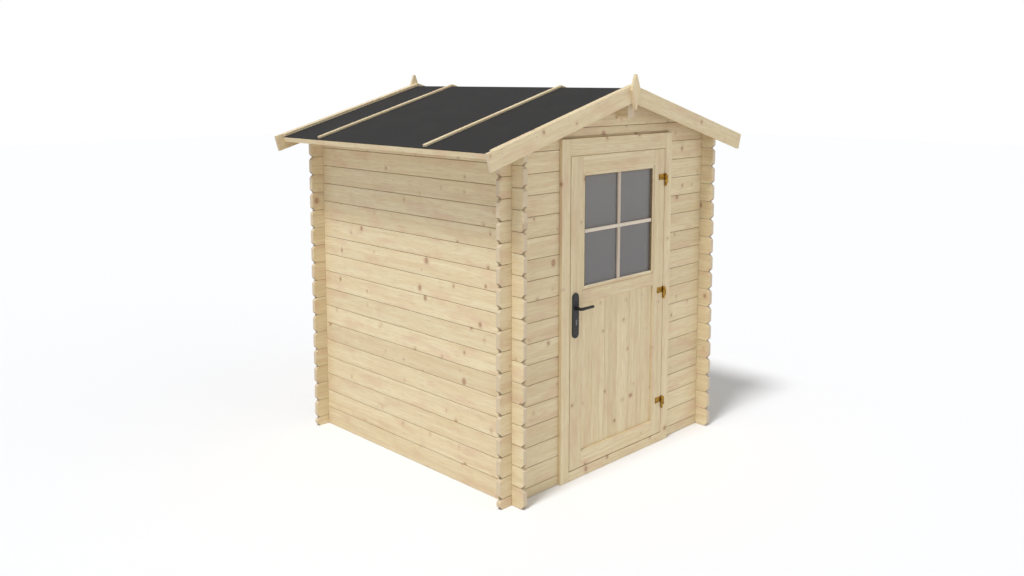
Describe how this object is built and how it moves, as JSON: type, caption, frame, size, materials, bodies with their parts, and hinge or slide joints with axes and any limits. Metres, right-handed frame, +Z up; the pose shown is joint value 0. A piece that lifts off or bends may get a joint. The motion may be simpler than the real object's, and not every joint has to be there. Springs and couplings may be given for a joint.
{
  "type": "garden shed",
  "caption": "Small log-built garden shed with interlocking corner logs, a gabled felt roof, barge boards with finials and one half-glazed hinged door.",
  "frame": {"origin": "on the ground at the middle of the plan", "axes": "+Z up, the door and front gable face -Y, +X to the right seen from the front"},
  "size_m": [2.2792, 1.9872, 2.2877],
  "materials": {
    "spruce": "planed bare spruce",
    "pale_wood": "pale planed bars",
    "roof_felt": "matt bitumen felt",
    "glass": "clear",
    "hinge_brass": "yellow passivated",
    "lock_nickel": "satin nickel plated",
    "black_handle": "satin black"
  },
  "bodies": {
    "shed": {"left_wall_logs": "spruce", "right_wall_logs": "spruce", "back_wall_logs": "spruce", "back_gable_logs": "spruce", "front_wall_logs_left": "spruce", "front_wall_logs_right": "spruce", "front_gable_logs": "spruce", "ridge_purlin": "spruce", "roof_boards_left": "spruce", "roof_boards_right": "spruce", "roof_felt": "roof_felt", "eave_fascia_left": "spruce", "eave_fascia_right": "spruce", "felt_battens_left": "spruce", "felt_battens_right": "spruce", "verge_strips": "spruce", "front_barge_board_left": "spruce", "front_barge_board_right": "spruce", "rear_barge_board_left": "spruce", "rear_barge_board_right": "spruce", "front_finial": "spruce", "rear_finial": "spruce", "door_jamb_left": "spruce", "door_jamb_right": "spruce", "door_head": "spruce", "door_sill": "spruce", "hinge_frame_plates": "hinge_brass"},
    "door": {"door_stile_left": "spruce", "door_stile_right": "spruce", "door_top_rail": "spruce", "door_middle_rail": "spruce", "door_bottom_rail": "spruce", "door_panel_boards": "spruce", "door_glass": "glass", "glazing_beads": "spruce", "glazing_bars": "pale_wood", "hinge_door_plates": "hinge_brass", "handle_plate_outside": "black_handle", "handle_plate_inside": "black_handle", "lock_cylinder": "lock_nickel"},
    "lever": {"lever_handle": "black_handle"}
  },
  "joints": [
    {"name": "door_hinge", "type": "hinge", "parent": "shed", "child": "door", "pos_m": [0.4255, -0.8975, 0], "axis": [0, 0, 1], "range_deg": [0, 160]},
    {"name": "lever_turn", "type": "hinge", "parent": "door", "child": "lever", "pos_m": [-0.3935, -0.87, 0.996], "axis": [0, 1, 0], "range_deg": [0, 40], "stiffness_Nm_per_rad": 0.6, "springref_deg": -28.65}
  ]
}
